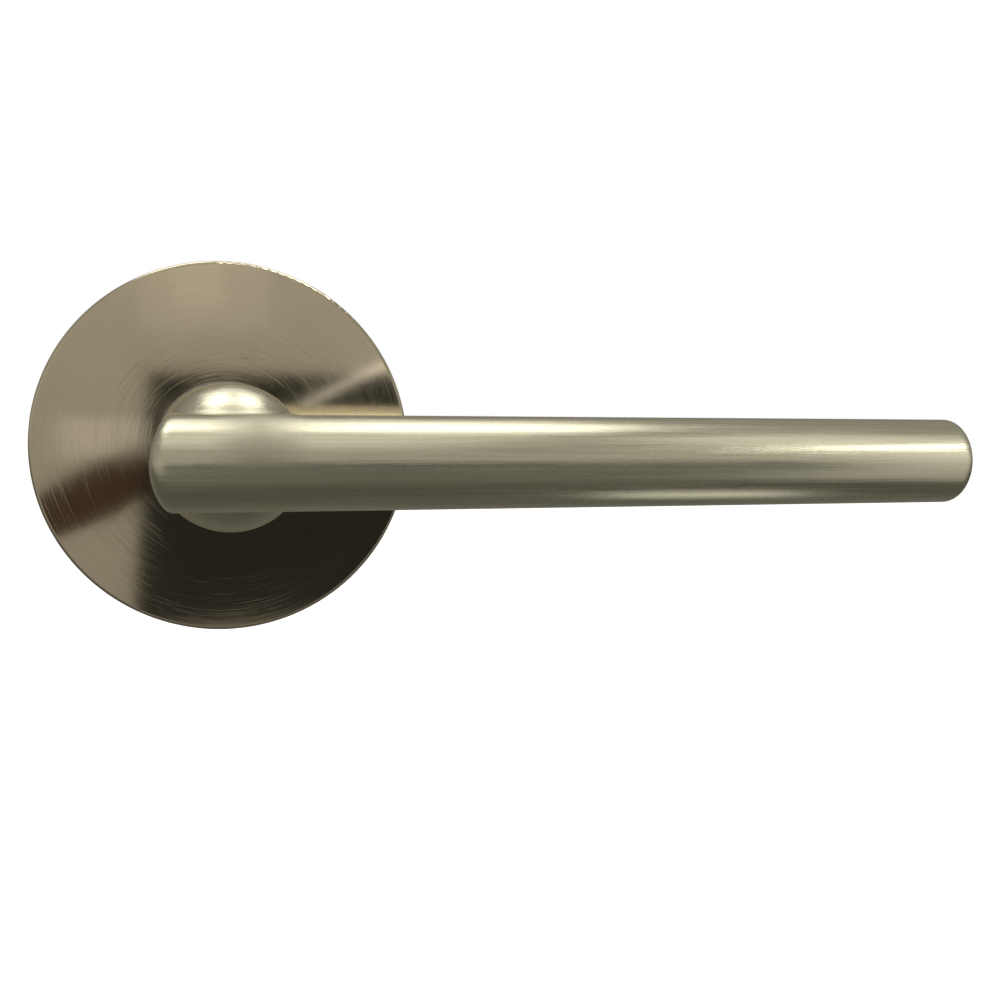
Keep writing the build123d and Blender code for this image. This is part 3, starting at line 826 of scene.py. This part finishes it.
def wood_screw(size, top, tip):
    """A countersunk screw along Y at the origin, from the top of its head to its point."""
    bm = bmesh.new()
    disc = bmesh.ops.create_circle(bm, cap_ends=True, segments=HEAD_SIDES, radius=size.head)["verts"]
    upright = Matrix.Translation((0, top, 0)) @ Matrix.Rotation(radians(90), 4, "X")
    bmesh.ops.transform(bm, matrix=upright, verts=disc)
    wing, web = size.head * WING, size.head * WEB
    for across in (wing, web, -web, -wing):
        for normal in ((1, 0, 0), (0, 0, 1)):
            whole = list(bm.verts) + list(bm.edges) + list(bm.faces)
            middle = Vector(normal) * across
            bmesh.ops.bisect_plane(bm, geom=whole, dist=1e-6, plane_co=middle, plane_no=normal)
    cross = []
    for face in bm.faces:
        middle = face.calc_center_median()
        far, near = max(abs(middle.x), abs(middle.z)), min(abs(middle.x), abs(middle.z))
        if far < wing and near < web:
            cross.append(face)
    sunk = bmesh.ops.extrude_face_region(bm, geom=cross)["geom"]
    bmesh.ops.delete(bm, geom=cross, context="FACES_ONLY")
    floor_verts = [item for item in sunk if isinstance(item, bmesh.types.BMVert)]
    bmesh.ops.translate(bm, verts=floor_verts, vec=(0, size.head * RECESS_DEPTH, 0))
    bmesh.ops.scale(bm, verts=floor_verts, vec=(RECESS_TAPER, 1, RECESS_TAPER))
    root = size.shank - size.thread_depth
    neck = top + size.head - size.shank
    rim = [edge for edge in bm.edges if edge.is_boundary]
    radius, depth = size.head, top
    outline = (
        (size.head, top + HEAD_EDGE), (size.shank, neck),
        (size.shank, THREAD_START * size.pitch), (root, ROOT_START * size.pitch), (root, tip - size.tip),
        (root * POINT_MIDDLE, tip - size.tip * POINT_RISE), (root * POINT_END, tip))
    for next_radius, next_depth in outline:
        rim = drawn_out(bm, rim, (0, next_depth - depth, 0))
        verts = list({vert for edge in rim for vert in edge.verts})
        bmesh.ops.scale(bm, verts=verts, vec=(next_radius / radius, 1, next_radius / radius))
        radius, depth = next_radius, next_depth
    bmesh.ops.holes_fill(bm, edges=rim, sides=0)
    add_thread(bm, size, root, THREAD_START * size.pitch, tip - THREAD_END, tip)
    return bm


def add_thread(bm, size, root, start, end, tip):
    """Winds a ridge round the shank, which runs out with the point."""
    turns = (end - start) / size.pitch
    steps = int(turns * THREAD_STEPS)
    sunk = root - THREAD_SUNK
    foot = size.pitch * THREAD_FOOT
    points = (
        (sunk, start - foot), (size.shank, start - THREAD_CREST),
        (size.shank, start + THREAD_CREST), (sunk, start + foot))
    corners = [bm.verts.new((radius, y, 0)) for radius, y in points]
    ridge = [bm.edges.new((one, other)) for one, other in zip(corners, corners[1:] + corners[:1])]
    before = set(bm.verts) - set(corners)
    bmesh.ops.spin(bm, geom=ridge, cent=(0, 0, 0), axis=(0, 1, 0), angle=tau * turns, steps=steps,
                   dvec=(0, (end - start) / steps, 0), use_merge=False, use_duplicate=False)
    bmesh.ops.holes_fill(bm, edges=[edge for edge in bm.edges if edge.is_boundary], sides=0)
    point = tip - size.tip
    for vert in bm.verts:
        if vert not in before and vert.co.y > point:
            share = max((tip - vert.co.y) / size.tip, RUN_OUT_LEAST) ** RUN_OUT_CURVE
            vert.co.x *= share
            vert.co.z *= share


class LEVER_OT_screws(bpy.types.Operator):
    """Makes the two wood screws with their crossed heads and wound threads"""

    bl_idname = "lever.screws"
    bl_label = "Wood screws"

    def execute(self, context):
        size = context.scene.screw_settings
        low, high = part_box("wood_screws")
        colour = context.scene.finish_settings.yellow_colour
        tones = shaded(colour, (1.0, 0.88, 0.95), (1.0, 1.0, 1.0), (0.92, 1.06, 1.05), (1.06, 0.96, 0.80))
        material = grained("yellow_passivation", tones, 0.26, 0.22 * MM, 3 * MICRON)
        for index in range(SCREW_COUNT):
            angle = size.first_angle + tau / SCREW_COUNT * index
            bm = wood_screw(size, low[1], high[1])
            place = Vector((size.circle * cos(angle), 0, size.circle * sin(angle)))
            driven = Matrix.Rotation(radians(FIRST_TURN + NEXT_TURN * index), 3, "Y")
            bmesh.ops.rotate(bm, verts=bm.verts, cent=(0, 0, 0), matrix=driven)
            bmesh.ops.translate(bm, verts=bm.verts, vec=place)
            piece = piece_from(bm, f"wood_screw_{index + 1}", material)
            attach(piece, "root")
            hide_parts("wood_screws")
        return {"FINISHED"}


# ---------------------------------------------------------------- panel and registration


PIECES = (
    LEVER_OT_studio, LEVER_OT_lever, LEVER_OT_rose, LEVER_OT_spindle, LEVER_OT_cassette, LEVER_OT_plate,
    LEVER_OT_bearings, LEVER_OT_fixings, LEVER_OT_gasket, LEVER_OT_spring, LEVER_OT_screws,
)


class LEVER_PT_panel(bpy.types.Panel):
    """Lists the handle's pieces and the studio"""

    bl_idname = "LEVER_PT_panel"
    bl_label = "Lever handle"
    bl_space_type = "VIEW_3D"
    bl_region_type = "UI"
    bl_category = "Lever handle"

    def draw(self, context):
        for piece in PIECES:
            self.layout.operator(piece.bl_idname, text=piece.bl_label)


SETTINGS = {
    "finish_settings": FinishSettings, "studio_settings": StudioSettings,
    "spring_settings": SpringSettings, "screw_settings": ScrewSettings,
}
CLASSES = (*SETTINGS.values(), *PIECES, LEVER_PT_panel)


def register():
    for made in CLASSES:
        bpy.utils.register_class(made)
    for name, group in SETTINGS.items():
        setattr(bpy.types.Scene, name, bpy.props.PointerProperty(type=group))


def unregister():
    for name in SETTINGS:
        delattr(bpy.types.Scene, name)
    for made in reversed(CLASSES):
        bpy.utils.unregister_class(made)


def main():
    register()
    for piece in PIECES:
        group, name = piece.bl_idname.split(".")
        getattr(getattr(bpy.ops, group), name)()


if __name__ == "__main__":
    main()
